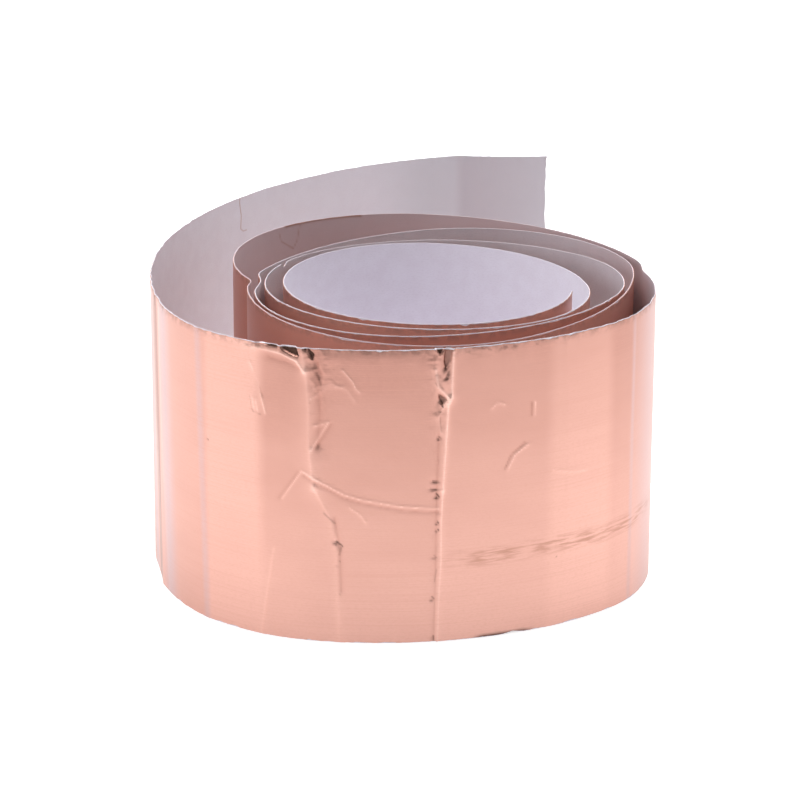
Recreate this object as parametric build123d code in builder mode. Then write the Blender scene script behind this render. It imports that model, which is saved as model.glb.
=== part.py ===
"""Copper foil tape for stained glass: one metre of wide tape, wound up on itself without a core.

The tape is a laminate of three strips: soft copper foil on the outside of the coil, a thin layer
of adhesive behind it, and a paper release liner on the inside. It stands on its slit edge, its
turns lie loose, and its last length springs away from the coil to a short folded flap.

Real tape is unbroken. Here it is divided into four stretches at the places where it bends when it
is handled, so that each stretch can turn about an upright axis: the inner end, the coil, the tail
and the flap. The liner's last centimetre is a tab of its own, which peels off the flap.

Units are millimetres. +Z runs across the width of the tape. The origin is on the surface that the
coil stands on, at the middle of its bounding box, and the flap is at the far side, towards +Y.
"""

from build123d import *

import os
from math import cos, radians, sin

# ------------------------------------------------------------------------------------------------
# Driving dimensions
# ------------------------------------------------------------------------------------------------
TAPE_WIDTH = 50.0
FOIL_THICKNESS = 0.05
ADHESIVE_THICKNESS = 0.04
LINER_THICKNESS = 0.09

FOLD_GAP = 0.2  # between two stretches that turn on each other, shared equally by both
PEEL_START = 3.5  # from the fold of the flap to the edge where the liner tab lets go

# Each layer lies between two distances from the tape's middle line, positive towards the outside
# of the coil. The middle line is half way through the laminate.
HALF_TAPE = (FOIL_THICKNESS + ADHESIVE_THICKNESS + LINER_THICKNESS) / 2
FOIL = (HALF_TAPE - FOIL_THICKNESS, HALF_TAPE)
ADHESIVE = (HALF_TAPE - FOIL_THICKNESS - ADHESIVE_THICKNESS, HALF_TAPE - FOIL_THICKNESS)
LINER = (-HALF_TAPE, LINER_THICKNESS - HALF_TAPE)

# ------------------------------------------------------------------------------------------------
# The course of the tape, seen from above
#
# Each run is (length, bend): an arc of that length which turns the tape by that many degrees, or a
# crease where the run is a few millimetres long. A positive bend winds the tape clockwise, and a
# negative one is a dent pressed into it. No run is quite straight. The runs join without a corner,
# from the free end in the eye of the coil to the free end outside it. Together they are 1004 mm
# long: a metre, and the few millimetres over that a cut by hand leaves.
# ------------------------------------------------------------------------------------------------
START_HEADING = -96.0

INNER_END = [(25, 67)]

FIRST_TURN = [(38.5, 85), (49, 123), (36.5, 70)]

SECOND_TURN = [(28, 76), (40, 74), (39.5, 95), (46.5, 76)]

THIRD_TURN = [(26.5, 73), (39.5, 57), (43, 95)]
THIRD_TURN += [(2, 15), (4, -9), (2, -16), (2, 10), (2, 26)]  # pinched in at the left
THIRD_TURN += [(37, 45), (48, 100), (4, 13)]

FOURTH_TURN = [(42, 49), (32, 69), (35.5, 59)]
FOURTH_TURN += [(1.5, 19), (1.5, -14), (1.5, -31)]  # follows the same pinch
FOURTH_TURN += [(34.5, 71), (30, 58), (46.5, 57)]
FOURTH_TURN += [(2.5, 15), (3, 9), (2.5, -18)]  # a soft kink at the right

OUTER_TURN = [(34, 66), (46.5, 48), (39.5, 66)]

TAIL = [(1.5, 6), (10.5, -2), (1.5, 6)]  # a flat facet between two light creases
TAIL += [(37.5, 26.5), (37.5, 26), (31.5, 27.5)]
TAIL += [(2, 24.5)]  # the fold that the flap stands on

FLAP = [(16, -17.5)]  # springs back a little, the other way

COIL = FIRST_TURN + SECOND_TURN + THIRD_TURN + FOURTH_TURN + OUTER_TURN


def bend_radius(length, bend):
    """Radius of the middle line along a run."""
    return length / radians(abs(bend))


def walk(point, heading, runs):
    """The point and the heading that runs end at, when they set out from point along heading."""
    x, y = point
    for length, bend in runs:
        radius = length / radians(bend)
        end_heading = heading - bend
        x += radius * (sin(radians(heading)) - sin(radians(end_heading)))
        y += radius * (cos(radians(end_heading)) - cos(radians(heading)))
        heading = end_heading
    return (x, y), heading


def part_of(runs, skip=0.0, keep=None):
    """The runs left when skip is cut off their start, and all beyond keep off their end."""
    total = sum(length for length, bend in runs)
    last = total if keep is None else keep
    pieces = []
    done = 0.0
    for length, bend in runs:
        low = max(skip, done)
        high = min(last, done + length)
        if high > low:
            pieces.append((high - low, bend * (high - low) / length))
        done += length
    return pieces


def beside(point, heading, distance):
    """The point at distance to the left of the heading, which is the outside of the coil."""
    x, y = point
    return (x - distance * sin(radians(heading)), y + distance * cos(radians(heading)))


def face_line(point, heading, runs, distance):
    """Draw the line at a constant distance beside the runs. Its arcs share the runs' centres."""
    pen = beside(point, heading, distance)
    tangent = Vector(1, 0).rotate(Axis.Z, heading)
    for length, bend in runs:
        outward = distance if bend > 0 else -distance
        arc = JernArc(pen, tangent, bend_radius(length, bend) + outward, -bend)
        pen = arc @ 1
        tangent = arc % 1


def strip_outline(point, heading, runs, layer):
    """Draw the closed outline of one layer, seen on its edge."""
    inside, outside = layer
    end, end_heading = walk(point, heading, runs)
    face_line(point, heading, runs, inside)
    face_line(point, heading, runs, outside)
    Line(beside(point, heading, inside), beside(point, heading, outside))
    Line(beside(end, end_heading, inside), beside(end, end_heading, outside))


# ------------------------------------------------------------------------------------------------
# Where the tape starts
#
# The outermost face of the foil is drawn once from a trial point, and the trial point is moved by
# the middle of its bounding box, which brings the middle to the origin.
# ------------------------------------------------------------------------------------------------
with BuildLine() as trial:
    face_line((0, 0), START_HEADING, INNER_END + COIL + TAIL + FLAP, HALF_TAPE)
reach = trial.line.bounding_box()

START = (-(reach.min.X + reach.max.X) / 2, -(reach.min.Y + reach.max.Y) / 2)
COIL_START = walk(START, START_HEADING, INNER_END)
TAIL_START = walk(*COIL_START, COIL)
FLAP_START = walk(*TAIL_START, TAIL)
PEEL_EDGE = walk(*FLAP_START, part_of(FLAP, keep=PEEL_START))

# ------------------------------------------------------------------------------------------------
# The stretches of tape
#
# Each is (where its middle line starts, its heading there, its runs). Half of the fold gap comes
# off each end that turns on its neighbour, and the free ends of the tape keep their full length.
# ------------------------------------------------------------------------------------------------
HALF_GAP = FOLD_GAP / 2


def stretch(start, runs, gap_before=True, gap_after=True):
    """A stretch of tape with half a fold gap taken off the ends that turn."""
    total = sum(length for length, bend in runs)
    skip = HALF_GAP if gap_before else 0.0
    keep = total - HALF_GAP if gap_after else total
    point, heading = walk(*start, part_of(runs, keep=skip))
    return point, heading, part_of(runs, skip=skip, keep=keep)


STRETCHES = {
    "inner_end": stretch((START, START_HEADING), INNER_END, gap_before=False),
    "coil": stretch(COIL_START, COIL),
    "tail": stretch(TAIL_START, TAIL),
    "flap": stretch(FLAP_START, FLAP, gap_after=False),
}
LINER_STRETCHES = dict(STRETCHES)
LINER_STRETCHES["flap"] = stretch(FLAP_START, part_of(FLAP, keep=PEEL_START))
LINER_STRETCHES["tab"] = stretch(PEEL_EDGE, part_of(FLAP, skip=PEEL_START), gap_after=False)

os.makedirs("parts", exist_ok=True)

# ------------------------------------------------------------------------------------------------
# Copper foil: the outer face of the coil, and the layer that gives the tape its stiffness
# ------------------------------------------------------------------------------------------------
for place, (point, heading, runs) in STRETCHES.items():
    with BuildPart() as copper_foil:
        with BuildSketch(Plane.XY):
            with BuildLine():
                strip_outline(point, heading, runs, FOIL)
            make_face()
        extrude(amount=TAPE_WIDTH)
    copper_foil.part.label = f"copper_foil_{place}"
    export_step(copper_foil.part, f"parts/copper_foil_{place}.step")

# ------------------------------------------------------------------------------------------------
# Adhesive: a thin even coat on the back of the foil
# ------------------------------------------------------------------------------------------------
for place, (point, heading, runs) in STRETCHES.items():
    with BuildPart() as adhesive:
        with BuildSketch(Plane.XY):
            with BuildLine():
                strip_outline(point, heading, runs, ADHESIVE)
            make_face()
        extrude(amount=TAPE_WIDTH)
    adhesive.part.label = f"adhesive_{place}"
    export_step(adhesive.part, f"parts/adhesive_{place}.step")

# ------------------------------------------------------------------------------------------------
# Release liner: white paper on the inside, in one more piece than the foil, for the peeling tab
# ------------------------------------------------------------------------------------------------
for place, (point, heading, runs) in LINER_STRETCHES.items():
    with BuildPart() as release_liner:
        with BuildSketch(Plane.XY):
            with BuildLine():
                strip_outline(point, heading, runs, LINER)
            make_face()
        extrude(amount=TAPE_WIDTH)
    release_liner.part.label = f"liner_{place}"
    export_step(release_liner.part, f"parts/liner_{place}.step")

# ------------------------------------------------------------------------------------------------
# Upright axes that the stretches turn about
# ------------------------------------------------------------------------------------------------
tape_length = sum(length for length, bend in INNER_END + COIL + TAIL + FLAP)
print(f"tape length {tape_length:.1f} mm, starts at ({START[0]:.3f}, {START[1]:.3f})")
for name, ((x, y), heading) in {
    "inner end": COIL_START,
    "tail": TAIL_START,
    "flap": FLAP_START,
    "peel": PEEL_EDGE,
}.items():
    print(f"{name} axis at ({x:.3f}, {y:.3f}), heading {heading % 360:.1f}")
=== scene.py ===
# %% [markdown]
# # A coil of copper foil tape
#
# Stained glass makers wrap the edge of each piece of glass in copper foil. The tape is a laminate:
# soft rolled copper on the outside, a thin coat of adhesive behind it, and a white paper liner on the
# inside that is peeled off in use. This coil is one metre of wide tape, wound loosely on itself with
# no core, and standing on its slit edge.
#
# The notebook builds the tape as one surface that follows a winding course, gives that surface the
# creases and torn rims of soft foil, and cuts the three layers out of it.

# %% Load the frame
from math import cos, pi, radians, sin

import bpy
import numpy as np
from mathutils import Matrix, Vector


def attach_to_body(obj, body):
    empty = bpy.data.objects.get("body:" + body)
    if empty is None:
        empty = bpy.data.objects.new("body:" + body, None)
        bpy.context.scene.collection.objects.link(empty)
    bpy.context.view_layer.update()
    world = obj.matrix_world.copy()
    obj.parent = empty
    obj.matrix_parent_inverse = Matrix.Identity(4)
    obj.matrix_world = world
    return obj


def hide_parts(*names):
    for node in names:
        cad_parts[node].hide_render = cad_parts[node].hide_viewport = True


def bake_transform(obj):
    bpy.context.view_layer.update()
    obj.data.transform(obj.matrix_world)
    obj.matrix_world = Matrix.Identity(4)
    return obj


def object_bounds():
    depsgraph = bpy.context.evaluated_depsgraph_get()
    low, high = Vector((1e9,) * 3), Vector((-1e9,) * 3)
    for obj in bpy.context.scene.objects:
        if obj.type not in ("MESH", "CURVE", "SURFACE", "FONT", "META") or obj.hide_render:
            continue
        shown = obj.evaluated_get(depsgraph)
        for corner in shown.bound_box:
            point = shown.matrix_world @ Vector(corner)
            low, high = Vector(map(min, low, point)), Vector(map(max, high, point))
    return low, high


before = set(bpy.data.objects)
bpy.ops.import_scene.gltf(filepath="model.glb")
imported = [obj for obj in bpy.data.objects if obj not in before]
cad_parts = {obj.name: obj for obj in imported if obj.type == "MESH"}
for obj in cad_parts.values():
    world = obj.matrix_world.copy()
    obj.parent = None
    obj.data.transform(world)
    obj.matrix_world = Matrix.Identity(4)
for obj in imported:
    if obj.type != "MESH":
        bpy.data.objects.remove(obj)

cad_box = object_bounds()
print("CAD box:", [list(corner) for corner in cad_box])

# %% [markdown]
# ## Measures
#
# Blender works in metres. Stations along the tape and heights across it are small, so they are
# written in millimetres and turned into metres where a mesh is made. The tape's width and its place
# come from the frame, and the three thicknesses are the tape's gauges.

# %% Measures
MM = 0.001
lowest, highest = (np.array(corner) for corner in cad_box)
TAPE_WIDTH = (highest[2] - lowest[2]) / MM
COIL_CENTRE = (lowest[:2] + highest[:2]) / 2 / MM

FOIL = 0.05
ADHESIVE = 0.04
LINER = 0.09
HALF_TAPE = (FOIL + ADHESIVE + LINER) / 2
print(f"tape {TAPE_WIDTH:.1f} mm wide, {2 * HALF_TAPE:.2f} mm thick")

# %% [markdown]
# ## Camera
#
# A small thing is best seen with a long lens from well back, so that its sides stay
# nearly parallel. This camera stands a little over half a metre away and looks down on the coil by
# less than twenty degrees. It is turned a fraction of a degree about its own view, as a hand-held or
# hastily levelled camera is.

# %% Camera
CAMERA_PLACE = (-0.00012, -0.5851, 0.2182)
CAMERA_DOWN = radians(18.61)
CAMERA_ROLL = radians(0.21)
CAMERA_LENS = 156.9

camera_data = bpy.data.cameras.new("camera")
camera_data.sensor_width = 36.0
camera_data.lens = CAMERA_LENS
camera_data.clip_start = 0.01
camera_data.clip_end = 50.0
camera = bpy.data.objects.new("camera", camera_data)
camera.matrix_world = (
    Matrix.Translation(CAMERA_PLACE)
    @ Matrix.Rotation(pi / 2 - CAMERA_DOWN, 4, "X")
    @ Matrix.Rotation(CAMERA_ROLL, 4, "Z")
)
bpy.context.scene.collection.objects.link(camera)
bpy.context.scene.camera = camera
print(f"camera {abs(CAMERA_PLACE[1]):.3f} m in front, {CAMERA_PLACE[2]:.3f} m up")

# %% [markdown]
# ## Light and floor
#
# Bright metal shows whatever stands around it. A pale floor fills the lower half of every reflection,
# and large soft boxes stand above, behind and at the sides. The rest of the room is nearly dark, and
# that is what draws the creases.

# %% Soft boxes
LIGHTS_AIM = (0.0, 0.0, 0.02)
SOFT_BOXES = {
    # name: (place, size, power in watts)
    "top_box": ((0.0, 0.20, 1.20), 1.2, 6.5),
    "low_box": ((0.0, 0.10, 0.60), 0.8, 5.6),
    "back_box": ((0.0, 1.30, 0.75), 1.2, 5.0),
    "left_box": ((-1.30, 0.05, 0.45), 0.9, 3.6),
    "right_box": ((1.30, -0.10, 0.45), 0.9, 2.4),
    "front_left_box": ((-0.95, -0.80, 0.40), 0.6, 2.6),
}

for name, (place, size, power) in SOFT_BOXES.items():
    light_data = bpy.data.lights.new(name, "AREA")
    light_data.shape = "SQUARE"
    light_data.size = size
    light_data.energy = power
    light = bpy.data.objects.new(name, light_data)
    light.location = place
    light.visible_camera = False
    towards = Vector(LIGHTS_AIM) - Vector(place)
    light.rotation_euler = towards.to_track_quat("-Z", "Y").to_euler()
    bpy.context.scene.collection.objects.link(light)
print(f"{len(SOFT_BOXES)} soft boxes, {sum(box[2] for box in SOFT_BOXES.values()):.1f} W in all")

# %% Room
ROOM_LIGHT = 0.06
world = bpy.data.worlds.new("white_room")
world.use_nodes = True
world.node_tree.nodes["Background"].inputs["Color"].default_value = (1.0, 1.0, 1.0, 1.0)
world.node_tree.nodes["Background"].inputs["Strength"].default_value = ROOM_LIGHT
bpy.context.scene.world = world
bpy.context.scene.view_settings.view_transform = "Standard"
print("room light", ROOM_LIGHT)

# %% Floor
FLOOR_SIDE = 8.0
floor_mesh = bpy.data.meshes.new("floor")
half = FLOOR_SIDE / 2
floor_mesh.from_pydata(
    [(-half, -half, 0), (half, -half, 0), (half, half, 0), (-half, half, 0)], [], [(0, 1, 2, 3)]
)
floor = bpy.data.objects.new("floor", floor_mesh)
bpy.context.scene.collection.objects.link(floor)
print(f"floor {FLOOR_SIDE:.0f} m square")

# %% [markdown]
# ## Shader maths as Python
#
# A procedural finish is mostly arithmetic on masks. Wiring that by hand hides the sum, so a small
# class wraps a shader socket and overloads the operators: `1 - mask * 0.5` adds the Math nodes that
# work it out. One more method adds any other node, with its settings first and then its sockets.

# %% A socket that takes part in sums
class Wire:
    """A shader socket. Sums of wires and numbers add Math nodes."""

    def __init__(self, tree, socket=None):
        self.tree = tree
        self.socket = socket

    def node(self, kind, settings=None, inputs=None, output=0):
        """Add a node: its settings, then the values or links of its sockets. Return one output."""
        node = self.tree.nodes.new(kind)
        for name, value in (settings or {}).items():
            setattr(node, name, value)
        for name, value in (inputs or {}).items():
            if isinstance(value, Wire):
                self.tree.links.new(value.socket, node.inputs[name])
            else:
                node.inputs[name].default_value = value
        return Wire(self.tree, node.outputs[output])

    def maths(self, operation, *values):
        return self.node("ShaderNodeMath", {"operation": operation}, dict(enumerate(values)))

    def __add__(self, other):
        return self.maths("ADD", self, other)

    def __sub__(self, other):
        return self.maths("SUBTRACT", self, other)

    def __rsub__(self, other):
        return self.maths("SUBTRACT", other, self)

    def __mul__(self, other):
        return self.maths("MULTIPLY", self, other)

    def __truediv__(self, other):
        return self.maths("DIVIDE", self, other)

    __radd__ = __add__
    __rmul__ = __mul__

    def between(self, low, high):
        """A soft step from 0 at low to 1 at high."""
        limits = {"Value": self, "From Min": low, "From Max": high}
        return self.node("ShaderNodeMapRange", {"interpolation_type": "SMOOTHSTEP"}, limits)

    def mixed(self, first, second):
        """First colour where this mask is 0, second where it is 1."""
        sockets = {"Factor": self, 6: first, 7: second}
        return self.node("ShaderNodeMix", {"data_type": "RGBA"}, sockets, output=2)

    def size(self):
        """The value without its sign."""
        return self.maths("ABSOLUTE", self)

    def place(self, axis):
        """The place on the tape in millimetres: X along it and Y up it."""
        tape = self.node("ShaderNodeUVMap", {"uv_map": "tape"})
        return self.node("ShaderNodeSeparateXYZ", None, {0: tape}, output=axis)

    def attribute(self, name):
        """A number kept on the mesh's points."""
        return self.node("ShaderNodeAttribute", {"attribute_name": name}, output="Fac")

    def noise(self, along, across, detail=3.0):
        """Noise that takes turns of 1/along and 1/across millimetres on the tape, from 0 to 1."""
        place = self.node("ShaderNodeUVMap", {"uv_map": "tape"})
        scale = {0: place, 1: (along, across, 1.0)}
        place = self.node("ShaderNodeVectorMath", {"operation": "MULTIPLY"}, scale)
        return self.node("ShaderNodeTexNoise", None, {"Vector": place, "Scale": 1.0, "Detail": detail})


# %% Start a finish
def new_finish(name, **constants):
    """A material with a Principled shader: its constants are set, and its wire and shader returned."""
    material = bpy.data.materials.new(name)
    material.use_nodes = True
    shader = material.node_tree.nodes["Principled BSDF"]
    for socket, value in constants.items():
        shader.inputs[socket.replace("_", " ")].default_value = value
    return material, Wire(material.node_tree), shader


# %% Link wires to a shader
def feed(shader, **wires):
    """Link wires to the shader's sockets."""
    for socket, wire in wires.items():
        wire.tree.links.new(wire.socket, shader.inputs[socket.replace("_", " ")])


# %% [markdown]
# ## Rolled copper
#
# Foil is rolled thin between steel rollers, which leaves fine lines along its length and a soft
# sheen. Handling adds faint clouds, a few pits and, on this coil, a rubbed band low on the outer
# turn. Every pattern is laid out on the tape's own UV map, in millimetres along and across the tape,
# so that it follows the foil round the coil.

# %% Painted sheen along the tape
# Painted reflection: the flats of the outer turn are painted dull or bright, as each would reflect the
# room, with a soft step between two flats. Each step is (station, half width of the step, lean in mm of
# station per mm of height, change in painted sheen).
PAINTED_SHEEN_STEPS = [
    (752, 10.0, 0.0, 0.46),
    (777, 1.5, 0.0, 0.24),
    (789.5, 1.6, 0.0, -0.22),
    (809.5, 1.0, 0.0, -0.10),
    (838.2, 1.5, 0.0, 0.38),
    (849.3, 0.8, 0.0, -0.22),
    (861.5, 1.5, 0.0, 0.20),
    (867.0, 0.6, 0.07, -0.95),
    (871.6, 0.5, 0.07, 0.80),
    (884, 6.0, 0.0, -0.15),
]


print(f"{len(PAINTED_SHEEN_STEPS)} steps in polish")

# %% Painted glare bands
# Painted reflection: bands of glare that take away some of the copper's colour. Each is (station, half
# width, lean, strength).
GLARE_BANDS = [
    (763.0, 9.0, 0.0, 0.45),
    (771.0, 1.0, 0.0, 0.45),
    (849.6, 1.3, 0.035, 0.50),
    (862.2, 4.5, 0.05, 0.80),
    (875.5, 3.6, 0.06, 0.85),
]


def painted_glare_of(along, up):
    """How much painted glare whitens the copper: a band is 1 on its middle line and falls softly to 0 at
    its sides.
    """
    glare = 0 * up
    for station, half, lean, strength in GLARE_BANDS:
        off = (along + up * -lean - station).size()
        glare = glare + (1 - off.between(0, half)) * strength
    return glare


print(f"{len(GLARE_BANDS)} pale bands")


# %% Painted sheen at a place on the tape
def painted_sheen_of(along, up):
    """Painted sheen from 0 to 1: the sum of the steps, and painted light that falls slowly towards the
    top rim.
    """
    painted_sheen = 0.15 + 0 * up
    for station, half, lean, change in PAINTED_SHEEN_STEPS:
        place = along + up * -lean
        painted_sheen = painted_sheen + place.between(station - half, station + half) * change
    # Painted light: on the front of the outer turn the copper is painted brighter towards the foot and
    # darker towards the top rim.
    front = along.between(752, 762) * (1 - along.between(837, 840))
    return painted_sheen + (0.58 - up / TAPE_WIDTH) * front * 0.64


# %% The rubbed band
def rub_band(wire, along, up):
    """A band of fine scuffs that wanders round a height of 14 mm on the outer turn."""
    off = (up - wire.noise(0.04, 0.0, detail=1.0) * 3.0 - 12.6).size()
    band = (1 - off.between(0.3, 2.2)) * along.between(752, 775) * (1 - along.between(800, 812))
    return band * wire.noise(0.25, 2.2, detail=5.0).between(0.40, 0.66)


# %% Rolled copper
def rolled_copper():
    """Copper foil: painted sheen and painted glare bands, then lines, scuffs, pits, painted crest light,
    and dirt with painted shade over them.
    """
    material, wire, shader = new_finish("rolled_copper", Metallic=1.0, IOR=1.5)
    along, up = wire.place("X"), wire.place("Y")
    lines = wire.noise(0.03, 6.0, detail=4.0)
    clouds = wire.noise(0.05, 0.12, detail=4.0)
    grains = wire.noise(1.6, 3.2, detail=2.0)
    pits = wire.noise(0.55, 0.55, detail=1.0).between(0.80, 0.83)
    rub = rub_band(wire, along, up)
    rim = up.between(TAPE_WIDTH - 1.6, TAPE_WIDTH - 0.1) * wire.noise(0.9, 0.9, 3.0).between(0.35, 0.6)
    dirt_tear_and_shade, crest_light_and_shade = wire.attribute("dirt_tear_and_shade"), wire.attribute("crest_light_and_shade")

    # Painted light: the painted highlight on fold crests and painted shade in furrows are added to the
    # painted sheen.
    painted_sheen = painted_sheen_of(along, up) + (clouds - 0.5) * 0.35 + crest_light_and_shade * 0.5
    # Painted reflection: the painted sheen picks between a dark copper and a bright copper.
    colour = painted_sheen.between(-0.25, 1.25).mixed((0.405, 0.188, 0.148, 1), (0.765, 0.440, 0.368, 1))
    # Painted reflection: the inner turns' copper is painted a deeper colour, as light bounced between the
    # turns would make it.
    inner = 1 - along.between(748, 762)
    colour = inner.mixed(colour, (0.64, 0.29, 0.21, 1))
    # Painted reflection: bands of pale glare on the flats at the sides of the outer turn.
    colour = painted_glare_of(along, up).mixed(colour, (0.56, 0.405, 0.42, 1))
    # Painted highlight on the crests of folds.
    colour = crest_light_and_shade.between(0.30, 1.6).mixed(colour, (0.93, 0.64, 0.55, 1))
    colour = (lines.between(0.42, 0.72) * 0.30).mixed(colour, (0.62, 0.330, 0.26, 1))
    colour = (grains.between(0.40, 0.75) * 0.22).mixed(colour, (0.60, 0.320, 0.25, 1))
    colour = (rub * 0.80).mixed(colour, (0.50, 0.26, 0.19, 1))
    # Painted shade: a ragged band along the top rim is painted darker.
    colour = (rim * 0.50).mixed(colour, (0.38, 0.22, 0.18, 1))
    colour = (pits * 0.6).mixed(colour, (0.35, 0.20, 0.15, 1))
    # Dirt with painted shade in creases and hollows and under the rim.
    colour = dirt_tear_and_shade.between(0.0, 1.0).mixed(colour, (0.085, 0.045, 0.035, 1))
    roughness = 0.29 + lines * 0.08 + clouds * 0.06 + rub * 0.10 + rim * 0.10 + dirt_tear_and_shade * 0.15

    relief = lines * 0.5 + grains * 0.7 + pits * -1.2
    bump = {"Height": relief, "Strength": 0.5, "Distance": 0.00004}
    feed(shader, Base_Color=colour, Roughness=roughness, Normal=wire.node("ShaderNodeBump", None, bump))
    return material


# %% [markdown]
# ## Liner, adhesive and floor
#
# The liner is white paper with a silicone coat, so it is smooth, faintly glossy and a little cool
# beside the copper. The adhesive is a clear amber film that shows only on the slit edges and where
# the liner is peeled. The floor is a plain light table: it glows a little, so that it stays white up
# to the foot of the coil.

# %% Liner paper
def liner_paper():
    """White paper: mottle and fibres, with painted copper-tinted shade on the inner turns and painted
    grey shade on the tail and flap.
    """
    material, wire, shader = new_finish("liner_paper", Specular_IOR_Level=0.45)
    mottle = wire.noise(0.35, 0.35, detail=5.0)
    fibres = wire.noise(2.0, 4.5, detail=3.0)
    colour = mottle.between(0.3, 0.7).mixed((0.80, 0.760, 0.835, 1), (0.77, 0.720, 0.795, 1))
    colour = (fibres.between(0.45, 0.75) * 0.3).mixed(colour, (0.64, 0.590, 0.660, 1))
    along = wire.place("X")
    # Painted shade, tinted by light bounced off the copper, on the liner of the inner turns.
    copper_bounce_shade = along.between(480, 520) * (1 - along.between(742, 760))
    colour = (copper_bounce_shade * 0.60).mixed(colour, (0.66, 0.48, 0.50, 1))
    # Painted shade: greyer on the tail and darker still on the flap.
    colour = (along.between(890, 965) * 0.5).mixed(colour, (0.62, 0.600, 0.690, 1))
    colour = (along.between(966, 982) * 0.7).mixed(colour, (0.54, 0.530, 0.595, 1))
    tear = wire.attribute("dirt_tear_and_shade")
    colour = tear.between(0.0, 1.0).mixed(colour, (0.38, 0.17, 0.11, 1))
    relief = mottle * 0.6 + fibres * 0.4
    bump = {"Height": relief, "Strength": 0.12, "Distance": 0.00005}
    feed(
        shader,
        Base_Color=colour,
        Roughness=0.34 + mottle * 0.14,
        Normal=wire.node("ShaderNodeBump", None, bump),
    )
    return material


# %% Clear adhesive
def clear_adhesive():
    """An amber film of uneven thickness."""
    material, wire, shader = new_finish("clear_adhesive", Specular_IOR_Level=0.5)
    film = wire.noise(0.5, 0.5, detail=4.0)
    colour = film.between(0.35, 0.65).mixed((0.62, 0.42, 0.34, 1), (0.54, 0.35, 0.28, 1))
    bump = {"Height": film, "Strength": 0.2, "Distance": 0.00005}
    feed(
        shader,
        Base_Color=colour,
        Roughness=0.22 + film * 0.18,
        Normal=wire.node("ShaderNodeBump", None, bump),
    )
    return material


# %% The three finishes and the floor's
FINISHES = {
    "copper": rolled_copper(),
    "adhesive": clear_adhesive(),
    "release_liner": liner_paper(),
}
floor_finish, _, _ = new_finish(
    "light_table",
    Base_Color=(0.62, 0.62, 0.625, 1.0),
    Roughness=0.85,
    Emission_Color=(1.0, 1.0, 1.0, 1.0),
    Emission_Strength=0.62,
)
floor_mesh.materials.append(floor_finish)
print("finishes:", sorted(FINISHES), floor_finish.name)

# %% [markdown]
# ## The course of the tape
#
# Seen from above, the tape is a chain of arcs that join without a corner. Each run is a length in
# millimetres and the bend over it in degrees, from the free end in the eye of the coil to the end of
# the flap. A few runs are creases only a millimetre or two long. The stations where the tape turns in
# use are sums of the runs before them.

# %% The course of the tape
START_HEADING = -96.0
INNER_END = [(25, 67)]
FIRST_TURN = [(38.5, 85), (49, 123), (36.5, 70)]
SECOND_TURN = [(28, 76), (40, 74), (39.5, 95), (46.5, 76)]
THIRD_TURN = [(26.5, 73), (39.5, 57), (43, 95)]
THIRD_TURN += [(2, 15), (4, -9), (2, -16), (2, 10), (2, 26), (37, 45), (48, 100), (4, 13)]
FOURTH_TURN = [(42, 49), (32, 69), (35.5, 59), (1.5, 19), (1.5, -14), (1.5, -31)]
FOURTH_TURN += [(34.5, 71), (30, 58), (46.5, 57), (2.5, 15), (3, 9), (2.5, -18)]
OUTER_TURN = [(34, 66), (46.5, 48), (39.5, 66)]
TAIL = [(1.5, 6), (10.5, -2), (1.5, 6), (37.5, 26.5), (37.5, 26), (31.5, 27.5), (2, 24.5)]
FLAP = [(16, -17.5)]
PEEL_START = 3.5

COIL = FIRST_TURN + SECOND_TURN + THIRD_TURN + FOURTH_TURN + OUTER_TURN
RUNS = np.array(INNER_END + COIL + TAIL + FLAP, float)


def total(runs):
    return sum(length for length, bend in runs)


INNER_HINGE = total(INNER_END)
TAIL_HINGE = INNER_HINGE + total(COIL)
FLAP_HINGE = TAIL_HINGE + total(TAIL)
PEEL_HINGE = FLAP_HINGE + PEEL_START
TAPE_LENGTH = RUNS[:, 0].sum()
print(f"tape {TAPE_LENGTH:.0f} mm long, hinges at {TAIL_HINGE:.1f} and {FLAP_HINGE:.1f} mm")

# %% [markdown]
# The curvature is constant along a run, so heading is a broken line of station, and a point on a run
# is its start plus the chord of the part of the arc before it. The whole chain is moved so that the
# outer face of the foil fills the CAD box.

# %% A point on the course
RUN_START = np.concatenate([[0.0], np.cumsum(RUNS[:, 0])])
RUN_HEADING = np.radians(START_HEADING - np.concatenate([[0.0], np.cumsum(RUNS[:, 1])]))


def chord(length, heading, bend):
    """The step made by an arc: its length times sinc of half the bend, along the middle heading."""
    middle = heading - bend / 2
    reach = length * np.sinc(bend / (2 * pi))
    return reach * np.cos(middle), reach * np.sin(middle)


steps = chord(RUNS[:, 0], RUN_HEADING[:-1], np.radians(RUNS[:, 1]))
RUN_PLACE = np.concatenate([[[0.0, 0.0]], np.cumsum(np.stack(steps, 1), 0)])


# %% A point on the middle line, or beside it
def course(station):
    """Point and heading of the tape's middle line: the start of the run plus the chord into it."""
    station = np.asarray(station, float)
    run = np.clip(np.searchsorted(RUN_START, station, "right") - 1, 0, len(RUNS) - 1)
    into = station - RUN_START[run]
    bend = np.radians(RUNS[run, 1]) * into / RUNS[run, 0]
    x, y = chord(into, RUN_HEADING[run], bend)
    return RUN_PLACE[run, 0] + x, RUN_PLACE[run, 1] + y, RUN_HEADING[run] - bend


def beside(station, distance):
    """A point at distance to the outside of the middle line, square to the heading."""
    x, y, heading = course(station)
    return x - distance * np.sin(heading), y + distance * np.cos(heading)


# %% Move the course into the CAD box
outline = np.stack(beside(np.linspace(0, TAPE_LENGTH, 20001), HALF_TAPE))
RUN_PLACE += COIL_CENTRE - (outline.min(1) + outline.max(1)) / 2
fitted = np.stack(beside(np.linspace(0, TAPE_LENGTH, 20001), HALF_TAPE)) * MM
print("course box:", fitted.min(1).round(5), fitted.max(1).round(5))

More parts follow.
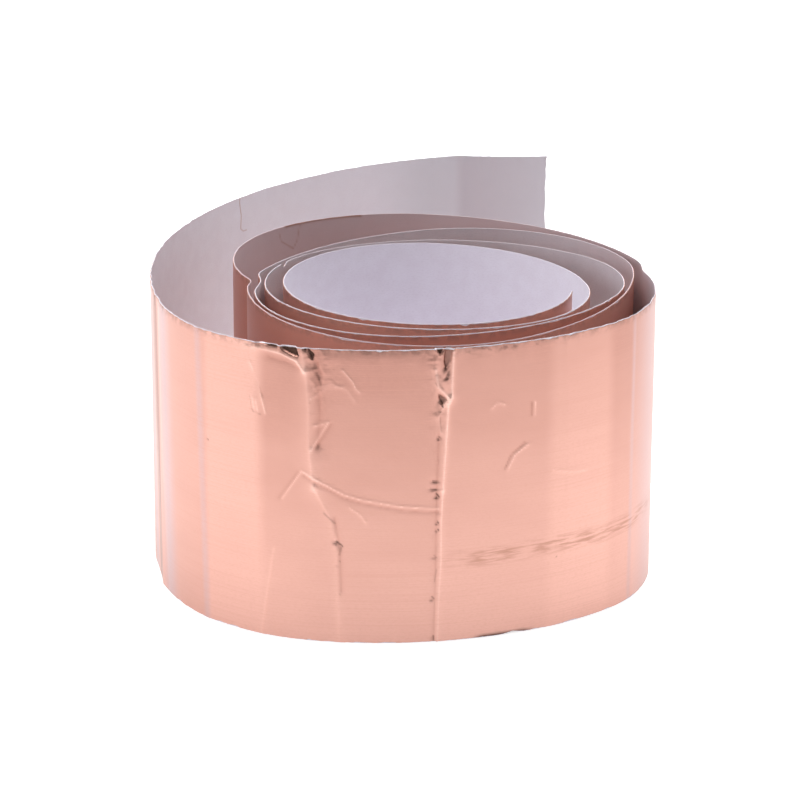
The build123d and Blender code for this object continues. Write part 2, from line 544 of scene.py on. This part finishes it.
# %% [markdown]
# ## Creases, folds and dents
#
# Soft foil keeps the mark of everything that has touched it. A crease is modelled as a cusp across a
# path: its height falls away with the distance from the path as exp(-distance / width), which has a
# sharp crest and no flat. Wide low cusps make facets, narrow ones make folds and scratches. The paths
# are given as (station, height) pairs on the unrolled tape.

# %% Noise on the tape
LATTICE = np.random.default_rng(7).uniform(-1, 1, (256, 256))


def noise(x, y, seed=0):
    """Smooth noise from -1 to 1: random values on a square lattice, joined by smoothstep weights."""
    x, y = np.broadcast_arrays(x + 37.3 * seed, y + 91.7 * seed)
    i, j = np.floor(x).astype(int), np.floor(y).astype(int)
    u, v = x - i, y - j
    u, v = u * u * (3 - 2 * u), v * v * (3 - 2 * v)
    low = LATTICE[i % 256, j % 256] * (1 - u) + LATTICE[(i + 1) % 256, j % 256] * u
    high = LATTICE[i % 256, (j + 1) % 256] * (1 - u) + LATTICE[(i + 1) % 256, (j + 1) % 256] * u
    return low * (1 - v) + high * v


def smooth_step(x, low, high):
    """0 below low, 1 above high, and a smooth rise between."""
    t = np.clip((x - low) / (high - low), 0, 1)
    return t * t * (3 - 2 * t)


# %% Distances on the tape
def distance_to_path(station, height, path):
    """The least distance to the straight pieces that join the path's points."""
    nearest = np.full(np.broadcast(station, height).shape, np.inf)
    for (s0, z0), (s1, z1) in zip(path, path[1:]):
        ds, dz = s1 - s0, z1 - z0
        t = np.clip(((station - s0) * ds + (height - z0) * dz) / (ds * ds + dz * dz), 0, 1)
        nearest = np.minimum(nearest, np.hypot(station - s0 - t * ds, height - z0 - t * dz))
    return nearest


def inside_outline(station, height, outline, softness):
    """1 inside a convex outline and 0 outside: a smooth step of the least distance to its sides."""
    middle = np.mean(outline, 0)
    depth = np.full(np.broadcast(station, height).shape, np.inf)
    for (s0, z0), (s1, z1) in zip(outline, outline[1:] + outline[:1]):
        ds, dz = s1 - s0, z1 - z0
        away = (station - s0) * dz - (height - z0) * ds
        side = np.sign((middle[0] - s0) * dz - (middle[1] - z0) * ds)
        depth = np.minimum(depth, side * away / np.hypot(ds, dz))
    return smooth_step(depth, -softness, softness)


# %% Flats of the outer turn
# Each mark is (height of the crest in mm, outwards if positive, width in mm, path).
FACETS = [
    (0.30, 3.5, [(872.5, 50), (871, 28), (868.5, 14), (866.5, 0)]),
    (-0.12, 1.2, [(869.5, 50), (868, 28), (865.5, 14), (863.5, 0)]),
    (0.30, 4.0, [(851.7, 50), (850.6, 25), (849.5, 0)]),
    (0.24, 3.5, [(839, 40), (838.7, 24), (836.2, 12), (838, 0)]),
    (0.20, 3.5, [(787, 50), (786, 25), (787, 0)]),
    (0.26, 3.5, [(771, 50), (772, 28), (770, 0)]),
]
print(f"{len(FACETS)} edges between flats")

# %% Folds and scratches
# Listed in the same way as the flats.
FOLDS = [
    # the long crease: a sharp ridge, and the furrow beside it
    (0.34, 0.42, [(806.7, 50), (807.0, 42), (807.5, 40.4), (807.9, 33), (808.3, 26)]),
    (0.15, 0.34, [(808.3, 26), (808.5, 21), (808.5, 14), (808.8, 8.7), (809, 0)]),
    (0.20, 0.50, [(807.2, 41.7), (808.3, 40.3), (809.0, 38.6), (808.7, 36)]),
    (0.22, 0.60, [(809.5, 46.5), (809.1, 43.6), (807.6, 42)]),
    (-0.16, 0.45, [(808.0, 50), (808.1, 46.8)]),
    (-0.14, 0.45, [(808.7, 40), (809.0, 35), (809.2, 26), (809.3, 19), (809.4, 9), (809.6, 0)]),
    # the ridge that runs down from the gathered rim
    (0.40, 1.60, [(830.7, 49.2), (830.2, 46), (829.7, 40), (829.8, 34), (829, 26.5)]),
    (0.14, 0.70, [(829, 26.5), (826.4, 21.5), (825.5, 17), (825.2, 8.5), (824.8, 0)]),
    (-0.30, 1.10, [(828.9, 50), (828.3, 45), (828.0, 40), (828.3, 34)]),
    (-0.16, 0.50, [(825.7, 21.5), (824.9, 17), (824.6, 9)]),
    # the foil pushed down under the rim, with a raised lip below it
    (0.26, 0.55, [(841, 49.3), (837.5, 49), (834.5, 48.7), (831.8, 47.7), (830.5, 46)]),
    (-0.14, 0.60, [(836.5, 47.8), (833.2, 47.3), (831.4, 46.4)]),
    # the long shallow scratch, and the tent that it starts from
    (0.100, 0.18, [(834.3, 24.2), (831, 29.2), (824.3, 25.6), (821.6, 24.8), (814.5, 23.5), (808.9, 23)]),
    (-0.070, 0.24, [(830.6, 28.4), (824.3, 25.0), (821.6, 24.2), (814.5, 22.9), (808.9, 22.4)]),
    (-0.060, 0.30, [(834.9, 24.2), (831.6, 29.0)]),
    # small handling marks
    (0.110, 0.26, [(840, 46.5), (838.5, 43.2), (837.2, 38.3)]),
    (-0.080, 0.26, [(839.3, 45), (837.7, 41.2)]),
    (0.070, 0.20, [(839.5, 40.6), (839.1, 38.4)]),
    (0.070, 0.20, [(838.9, 40.4), (838.5, 38.2)]),
    (-0.060, 0.20, [(839.7, 38.6), (838.3, 38.1)]),
    (0.090, 0.24, [(828.9, 36.9), (826.6, 37.7), (829.5, 32.8)]),
    (-0.070, 0.26, [(826.2, 37.4), (828.6, 33.4)]),
    (0.060, 0.26, [(835.8, 15.4), (836.8, 9.5), (838.2, 0.5)]),
    (0.085, 0.20, [(797.3, 28.6), (796.1, 31), (793.8, 32.4)]),
    (-0.070, 0.22, [(797.8, 28.9), (796.7, 31.2), (794.4, 32.9)]),
    (0.075, 0.20, [(792.6, 39.5), (792.7, 37.3)]),
    (-0.060, 0.20, [(793.2, 39.5), (793.2, 37.3)]),
    (0.065, 0.20, [(800.2, 39.3), (799.2, 40.2), (798, 39.7)]),
    (0.060, 0.22, [(789, 27.2), (785.5, 26.3), (782.3, 25.9)]),
    (0.070, 0.20, [(823.2, 23.3), (821.6, 22.2), (820.6, 20.8)]),
    (0.070, 0.20, [(824.3, 46.5), (822.7, 44.6), (822.2, 43.4), (821.6, 42.9)]),
    (0.045, 0.24, [(829, 43.2), (826, 44.2), (823.6, 43.2), (822.4, 41.4)]),
    (0.045, 0.24, [(829.4, 41.5), (827, 43.4), (824, 43.8)]),
]
print(f"{len(FOLDS)} folds and scratches")

# %% Dents and hollows
DENTS = [
    # station, height, half size along, half size across, depth
    (809.0, 41.3, 0.60, 0.80, -0.22),
    (807.8, 44.4, 0.60, 1.60, 0.30),
    (809.2, 46.0, 0.50, 1.40, -0.20),
    (809.1, 35.1, 0.28, 0.30, -0.20),
    (809.5, 27.8, 0.70, 0.28, -0.18),
    (809.7, 26.5, 0.80, 0.26, -0.20),
    (809.3, 25.2, 0.45, 0.34, -0.22),
    (809.3, 20.7, 0.25, 0.25, -0.18),
    (809.3, 19.4, 0.25, 0.25, -0.18),
    (809.6, 14.8, 0.60, 0.25, -0.14),
    (809.7, 11.6, 0.30, 0.90, -0.14),
    (810.0, 7.6, 0.35, 0.35, -0.18),
    (809.9, 0.9, 0.30, 0.40, -0.16),
    (825.6, 17.6, 0.50, 0.50, -0.20),
    (824.9, 15.8, 0.40, 0.60, 0.14),
    (825.3, 13.6, 0.25, 0.30, -0.14),
    (849.1, 31.4, 0.22, 0.18, -0.14),
    (847.4, 21.0, 0.18, 0.18, -0.10),
]

# Places where the foil is pushed in behind a fold, as convex outlines; their darkness is dirt with
# painted shade in the pocket.
# Each is (depth in mm, darkness, softness in mm, outline).
HOLLOWS = [
    (0.45, 0.95, 0.12, [(834.7, 50.3), (834.0, 49.3), (832.6, 48.7), (831.3, 48.4), (832.0, 50.3)]),
    (0.30, 0.95, 0.10, [(838.4, 50.0), (836.2, 49.5), (835.0, 49.5), (835.0, 50.2)]),
    (0.30, 0.90, 0.10, [(831.1, 50.3), (830.2, 49.4), (829.8, 50.3)]),
    (0.35, 0.90, 0.12, [(830.2, 49.4), (829.5, 48.5), (829.1, 47.5), (828.9, 49.0), (829.8, 49.9)]),
    (0.20, 0.30, 0.35, [(829.2, 47.6), (828.8, 46.2), (827.8, 44.2), (827.6, 45.6), (828.6, 47.8)]),
    (0.50, 1.00, 0.12, [(810.0, 50.3), (808.8, 49.1), (808.0, 50.3)]),
    (0.30, 0.50, 0.16, [(806.9, 50.3), (807.1, 47.8), (807.9, 46.6), (808.2, 47.9), (807.9, 50.3)]),
    (0.15, 0.25, 0.18, [(807.3, 47.2), (808.3, 44.8), (807.7, 45.1)]),
    (0.32, 0.66, 0.20, [(809.1, 42.5), (807.6, 41.5), (808.4, 40.4), (808.8, 41.3)]),
]
print(f"{len(DENTS)} dents and {len(HOLLOWS)} hollows")

# %% Dirt, painted crease shade and tears
# Dirt with painted shade, where the foil is folded in and under its rim. Each is (darkness from 0 to 1,
# width in mm, path).
GRIME_AND_CREASE_SHADE = [
    (0.34, 1.5, [(812.5, 49.8), (818, 49.6), (827, 49.6)]),
    (0.16, 1.0, [(775, 50), (790, 50), (803, 50)]),
    (0.5, 0.14, [(807.7, 49.9), (807.3, 47.6), (808.1, 46.7)]),
    (0.4, 0.14, [(808.0, 48.4), (807.4, 47.9)]),
    (0.35, 0.12, [(809.6, 44.4), (809.3, 43.8)]),
    (0.3, 0.14, [(808.8, 38.6), (808.6, 36.0)]),
    (0.60, 0.16, [(808.9, 35.2), (808.6, 35.0)]),
    (0.55, 0.13, [(809.9, 27.8), (808.9, 27.6)]),
    (0.55, 0.13, [(810.3, 26.5), (809.3, 26.3)]),
    (0.80, 0.17, [(809.3, 25.6), (808.9, 25.1)]),
    (0.70, 0.15, [(809.1, 20.8), (808.9, 20.5)]),
    (0.80, 0.15, [(809.0, 19.5), (808.9, 19.3)]),
    (0.35, 0.16, [(809.6, 15.0), (809.2, 14.6)]),
    (0.30, 0.16, [(809.2, 12.6), (809.5, 10.4)]),
    (0.55, 0.18, [(809.9, 7.9), (809.6, 7.5)]),
    (0.60, 0.16, [(809.6, 1.0), (809.6, 0.2)]),
    (0.40, 0.20, [(827.4, 22.3), (825.6, 20.6)]),
    (0.75, 0.16, [(825.4, 17.5), (824.4, 16.8)]),
    (0.45, 0.20, [(824.6, 16.6), (824.9, 15.2)]),
    (0.50, 0.13, [(824.9, 14.2), (824.8, 14.0)]),
    (0.40, 0.12, [(824.9, 8.5), (824.8, 8.3)]),
    (0.75, 0.15, [(849.2, 31.5), (849.0, 31.3)]),
    (0.50, 0.12, [(847.5, 21.1), (847.4, 21.0)]),
    (0.30, 0.12, [(840.0, 40.8), (839.6, 38.4)]),
    (0.35, 0.12, [(839.4, 38.2), (838.0, 37.9)]),
    (0.30, 0.12, [(797.9, 28.6), (796.9, 31.0)]),
    (0.25, 0.10, [(793.3, 39.5), (793.3, 37.3)]),
    (0.25, 0.22, [(872.3, 34), (871.4, 30), (869.8, 23), (868.2, 14.5), (866.8, 4)]),
    (0.55, 0.22, [(871.8, 49.8), (871.6, 47.9)]),
]
# Small tears in the liner show the back of the foil.
TEARS = [
    (0.8, 0.12, [(934.5, 50), (934.5, 49), (935, 46.5), (934.8, 44)]),
    (0.5, 0.16, [(934.8, 44), (935.6, 43.4), (936.6, 43.4)]),
    (0.45, 0.20, [(666, 50), (665.3, 46.8), (664.4, 45.5), (661.5, 47.4), (661, 49)]),
    (0.8, 0.45, [(662.7, 50), (671, 50.1), (678, 50)]),
    (0.3, 0.20, [(972.2, 41.3), (973.4, 41.3)]),
]
print(f"{len(GRIME_AND_CREASE_SHADE)} lines of dirt and {len(TEARS)} tears in the liner")

# %% [markdown]
# Crumpled foil is many small flat facets between sharp creases. Folding noise over at zero, as
# 1 - |noise|, gives just such creases, and two sizes of it are enough. Masks keep the crumpling to
# the places where this foil was gathered: beside the long crease, down the ridge and along the rim.

# %% The relief of the laminate
def crumple(station, height):
    """Sharp ridges between flats, from -1 to 1: noise folded over at zero, in two sizes."""
    large = 1 - 2 * np.abs(noise(station / 1.5, height / 1.9, 3))
    small = 1 - 2 * np.abs(noise(station / 0.7, height / 0.8, 5))
    return 0.65 * large + 0.35 * small


def relief(station, height):
    """Distance in mm that handling has moved the tape outwards from its course."""
    out = 0.035 * noise(station / 9, height / 70, 1) + 0.02 * noise(station / 3.5, height / 26, 2)
    outer = smooth_step(station, 748, 760) * (1 - smooth_step(station, 884, 892))
    out = out * (0.4 + 0.6 * outer)
    for crest, width, path in FACETS + FOLDS:
        near = distance_to_path(station, height, path)
        out = out + crest * np.exp(-near / width)
    for s0, z0, along, across, depth in DENTS:
        out = out + depth * np.exp(-(((station - s0) / along) ** 2) - ((height - z0) / across) ** 2)
    for depth, darkness, softness, outline in HOLLOWS:
        out = out - depth * inside_outline(station, height, outline, softness)
    beside_crease = np.exp(-(((station - 809) / 1.6) ** 2)) * (0.25 + 0.75 * smooth_step(height, 30, 48))
    down_ridge = np.exp(-(((station - 828) / 2.5) ** 2)) * (0.10 + 0.90 * smooth_step(height, 36, 50))
    out = out + 0.11 * crumple(station, height) * np.maximum(beside_crease, down_ridge)
    from_rim = TAPE_WIDTH - height
    worn = smooth_step(station, 786, 796) * (1 - smooth_step(station, 838, 850))
    out = out + 0.10 * worn * np.exp(-from_rim / 1.6) * crumple(station, height * 0.7)
    return out + rim_wave(station) * np.exp(-from_rim / 0.9)


# %% Dirt, painted crease shade and painted crest light on the foil
def darkness_along_paths(station, height, paths):
    """Darkness from 0 to 1: each path's darkness fades as exp of minus the squared distance."""
    dark = np.zeros(np.broadcast(station, height).shape)
    for strength, width, path in paths:
        near = distance_to_path(station, height, path)
        dark = np.maximum(dark, strength * np.exp(-((near / width) ** 2)))
    return dark


def foil_grime_and_shade(station, height):
    """Dirt with painted shade in the folds and hollows and under the worn part of the top rim, and dirt
    on the torn part of the bottom rim.
    """
    dark = darkness_along_paths(station, height, GRIME_AND_CREASE_SHADE)
    for depth, darkness, softness, outline in HOLLOWS:
        dark = np.maximum(dark, darkness * inside_outline(station, height, outline, softness))
    speckle = noise(station / 0.9, height / 0.5, 8) + 0.5 * noise(station / 0.35, height / 0.3, 9)
    flecks = smooth_step(speckle, 0.1, 0.8)
    worn = smooth_step(station, 776, 792) * (1 - smooth_step(station, 842, 850))
    from_rim = TAPE_WIDTH - height
    # Painted shade under the worn top rim, broken into dirt flecks.
    dark = np.maximum(dark, 0.45 * worn * flecks * np.exp(-((from_rim / 1.5) ** 2)))
    torn = smooth_step(station, 791, 795) * (1 - smooth_step(station, 801, 804))
    return np.maximum(dark, 0.95 * torn * np.exp(-((height / 0.5) ** 2)))


def painted_crest_light(station, height):
    """Painted highlight on the crest of a fold and painted shade in a furrow: 1 and -1 on the steepest of
    them.
    """
    crest_light_and_shade = np.zeros(np.broadcast(station, height).shape)
    for crest, width, path in FOLDS:
        near = distance_to_path(station, height, path)
        crest_light_and_shade = crest_light_and_shade + np.clip(2.4 * crest / width, -1, 1) * np.exp(-near / (0.7 * width))
    return np.clip(crest_light_and_shade, -1, 1)


def rim_wave(station):
    """How far the top rim leans in or out, in mm. The outer turn's rim was bumped the most."""
    outer = smooth_step(station, 750, 765)
    return (0.04 + 0.10 * outer) * (noise(station / 1.7, 0.5, 11) + 0.6 * noise(station / 0.6, 0.5, 12))


# %% [markdown]
# ## Slit edges
#
# The tape was slit from a wide sheet. Copper tears a little where paper cuts clean, so the foil's rim
# lies a fraction of a millimetre below the liner's and has nicks in it, and a thin ragged line of
# white paper shows above every turn. The cut ends are ragged in the same way.

# %% Slit edges
def notch(station, middle, half_width, depth):
    """A V cut into a rim."""
    return depth * np.clip(1 - np.abs(station - middle) / half_width, 0, 1)


def foil_cut(station, seed):
    """How far the foil stops short of the liner's edge, in mm."""
    ragged = 0.13 + 0.07 * noise(station / 1.1, 0.3, seed) + 0.05 * noise(station / 0.45, 0.3, seed + 1)
    return ragged + 0.9 * np.clip(noise(station / 1.9, 0.3, seed + 2) - 0.66, 0, 1)


def liner_cut(station, seed):
    """How far the liner stops short of the tape's nominal edge, in mm."""
    return 0.02 + 0.02 * (1 + noise(station / 0.7, 0.6, seed))


# %% Where a layer's rims and ends lie
def top_of(layer, station):
    cut = liner_cut(station, 21)
    if layer != "paper":
        cut = cut + foil_cut(station, 22)
    cut = cut + notch(station, 871.8, 0.5, 0.4) + notch(station, 244.9, 0.4, 0.9)
    return TAPE_WIDTH - cut


def bottom_of(layer, station):
    cut = liner_cut(station, 31) - 0.02
    if layer != "paper":
        cut = cut + 0.7 * foil_cut(station, 32)
    return cut + notch(station, 796, 1.8, 0.35)


def ragged_end(height, seed):
    """How far a cut end stops short of its station, in mm."""
    return 0.25 * (1 + noise(height / 2.6, 0.4, seed)) + 0.12 * (1 + noise(height / 0.8, 0.4, seed + 1))


# %% [markdown]
# ## A layer as a closed shell
#
# A layer is the tape's surface drawn twice, at the layer's inner and outer distance from the middle
# line, on one grid of stations and heights. The grid runs once round the section: up the outer face,
# over the rim, down the inner face and back. Joining the last row to the first and capping both ends
# closes the shell.

# %% A layer as a closed shell
LAYERS = {
    # name: (inner distance, outer distance, material slot)
    "copper": (HALF_TAPE - FOIL, HALF_TAPE, "copper"),
    "glue": (HALF_TAPE - FOIL - ADHESIVE, HALF_TAPE - FOIL, "adhesive"),
    "paper": (-HALF_TAPE, LINER - HALF_TAPE, "release_liner"),
}
print("layers, from outside to inside:", list(LAYERS))


# %% The grid of a layer
def tape_points(station, height, distance):
    """Points on the tape in metres: the course, moved sideways by distance and relief."""
    x, y = beside(station, distance + relief(station, height))
    return np.stack([x, y, height], -1) * MM


def layer_grid(layer, stations, rows):
    """Stations and heights of a layer's grid, with ragged rims and ends."""
    share = rows[None, :]
    station = stations[:, None] + 0 * share
    low, high = bottom_of(layer, station), top_of(layer, station)
    height = low + (high - low) * share
    last, first = stations[-1], stations[0]
    if last >= TAPE_LENGTH:
        pull = smooth_step(station, last - 4, last)
        station = station - pull * ragged_end(height, 41)
    if first <= 0:
        pull = 1 - smooth_step(station, 0, 4)
        station = station + pull * ragged_end(height, 43)
    return station, height


# %% The faces of a closed shell
def shell_faces(columns, ring):
    """Quads round a tube of columns x ring points, and the quads that cap its two ends."""
    index = np.arange(columns * ring).reshape(columns, ring)
    near, far = index[:-1], index[1:]
    sides = np.stack([near, far, np.roll(far, -1, 1), np.roll(near, -1, 1)], -1).reshape(-1, 4)
    half = ring // 2
    caps = []
    for end, order in ((index[0], (0, 1, 2, 3)), (index[-1], (3, 2, 1, 0))):
        outer, inner = end[:half], end[half:][::-1]
        cap = np.stack([outer[:-1], outer[1:], inner[1:], inner[:-1]], -1)
        caps.append(cap[:, order])
    return np.concatenate([sides] + caps)


# %% A shell as a Blender object
def mesh_object(name, points, faces, plan, marks, slot):
    """A mesh object at the origin. Plan gives each point's place on the tape, for the UV map."""
    mesh = bpy.data.meshes.new(name)
    mesh.from_pydata(points.reshape(-1, 3), [], faces.tolist())
    corner = np.zeros(len(mesh.loops), np.int32)
    mesh.loops.foreach_get("vertex_index", corner)
    uv = mesh.uv_layers.new(name="tape")
    uv.data.foreach_set("uv", plan.reshape(-1, 2)[corner].astype(np.float32).ravel())
    for mark, values in marks.items():
        attribute = mesh.attributes.new(mark, "FLOAT", "POINT")
        attribute.data.foreach_set("value", values.astype(np.float32).ravel())
    mesh.shade_smooth()
    mesh.set_sharp_from_angle(angle=radians(50))
    mesh.materials.append(FINISHES[slot])
    piece = bpy.data.objects.new(name, mesh)
    bpy.context.scene.collection.objects.link(piece)
    return piece


# %% One layer of one stretch
def make_layer(name, layer, stations, rows):
    """One layer between the first and last station, as a closed shell."""
    inner, outer, slot = LAYERS[layer]
    station, height = layer_grid(layer, stations, rows)
    faces_out = tape_points(station, height, outer)
    faces_in = tape_points(station, height, inner)
    points = np.concatenate([faces_out, faces_in[:, ::-1]], 1)
    plan = np.stack([station, height], -1)
    plan = np.concatenate([plan, plan[:, ::-1]], 1)
    marks = {"dirt_tear_and_shade": darkness_along_paths(station, height, TEARS)}
    if layer != "paper":
        marks = {"dirt_tear_and_shade": foil_grime_and_shade(station, height), "crest_light_and_shade": painted_crest_light(station, height)}
    marks = {mark: np.concatenate([v, v[:, ::-1]], 1) for mark, v in marks.items()}
    piece = mesh_object(name, points, shell_faces(*points.shape[:2]), plan, marks, slot)
    length = stations[-1] - stations[0]
    length * MM
    return piece


# %% [markdown]
# ## Stretches
#
# The coil is one body. A stretch that crosses a hinge, at the inner end, tail, flap or liner tab, keeps
# the shape of the course and is put on no body. Stations lie closer together on the creased part of
# the outer turn, and rows lie closer together near the rims.

# %% Stations and rows
def spaced(*marks):
    """Stations from mark to mark. Each mark after the first is (station, step up to it)."""
    stations = [np.array([marks[0]])]
    for mark, step in marks[1:]:
        low = stations[-1][-1]
        count = max(1, int(round((mark - low) / step)))
        stations.append(np.linspace(low, mark, count + 1)[1:])
    return np.concatenate(stations)


def rows_of(count, gather):
    """Shares of the width from 0 to 1, drawn towards both rims by gather."""
    t = np.linspace(0, 1, count)
    return t - gather * np.sin(2 * pi * t) / (2 * pi)


# %% The stretches
FINE_ROWS = np.concatenate([np.linspace(0, 0.88, 148)[:-1], np.linspace(0.88, 1, 34)])
PLAIN_ROWS = np.concatenate([0.86 * rows_of(24, 0.5)[:-1], np.linspace(0.86, 1, 32)])
TAIL_STATIONS = spaced(858, (876, 0.35), (933, 0.7), (938, 0.15), (977, 0.7))
STRETCHES = {
    # name: (stations, rows, (first body, second body, hinge) or body)
    "inner_end": (spaced(0, (34, 0.6)), PLAIN_ROWS, ("inner_end", "coil", INNER_HINGE)),
    "inner_turns": (spaced(34, (656, 0.95), (680, 0.4), (748, 0.75)), PLAIN_ROWS, "coil"),
    "outer_right": (spaced(748, (786, 0.5), (795, 0.3)), FINE_ROWS, "coil"),
    "outer_front": (spaced(795, (804.5, 0.24), (812, 0.14), (822, 0.24), (842, 0.2)), FINE_ROWS, "coil"),
    "outer_left": (spaced(842, (858, 0.35)), FINE_ROWS, "coil"),
    "tail": (TAIL_STATIONS, PLAIN_ROWS, ("coil", "tail", TAIL_HINGE)),
    "flap": (spaced(977, (1004, 0.4)), PLAIN_ROWS, ("tail", "flap", FLAP_HINGE)),
}
CAD_PLACES = {
    "inner_end": "inner_end",
    "inner_turns": "coil",
    "outer_right": "coil",
    "outer_front": "coil",
    "outer_left": "coil",
    "tail": "tail",
    "flap": "flap",
}
CAD_LAYERS = {"copper": "copper_foil", "glue": "adhesive", "paper": "liner"}
print(f"{len(STRETCHES)} stretches, {TAPE_LENGTH:.0f} mm in all")

# %% Hinge reaches, and placing the pieces
BEND_REACH = {
    # place: how far before and after the hinge a bend would reach, in mm; attach reads it but bends
    # nothing
    "inner_end": (4.0, 4.0),
    "tail": (4.0, 4.0),
    "flap": (1.9, 1.9),
    "tab": (0.0, 2.4),
}


def attach(piece, bodies, place):
    """Let a piece ride on one body. A piece that spans a hinge goes on no body; only its transform is
    baked into its mesh.
    """
    if isinstance(bodies, str):
        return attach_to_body(piece, bodies)
    first, second, hinge = bodies
    before, after = BEND_REACH[place]
    start = [float(v) * MM for v in beside(hinge - before, 0)] + [0.0]
    end = [float(v) * MM for v in beside(hinge + after, 0)] + [0.0]
    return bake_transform(piece)


# %% Build the three layers
LINER_FLAP = spaced(977, (PEEL_HINGE - 1.5, 0.4))
LINER_TAB = spaced(PEEL_HINGE - 1.5, (PEEL_HINGE + 3, 0.2), (1004, 0.4))

pieces = {}
for place, (stations, rows, bodies) in STRETCHES.items():
    for layer in LAYERS:
        columns = LINER_FLAP if (layer, place) == ("paper", "flap") else stations
        piece = make_layer(f"{layer}_{place}", layer, columns, rows)
        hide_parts(f"{CAD_LAYERS[layer]}_{CAD_PLACES[place]}")
        attach(piece, bodies, place)
        pieces[piece.name] = piece

tab = make_layer("paper_tab", "paper", LINER_TAB, PLAIN_ROWS)
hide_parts("liner_tab")
attach(tab, ("flap", "liner_tab", PEEL_HINGE), "tab")
pieces[tab.name] = tab
for name, piece in pieces.items():
    print(f"{name}: {len(piece.data.polygons) * 2} triangles")
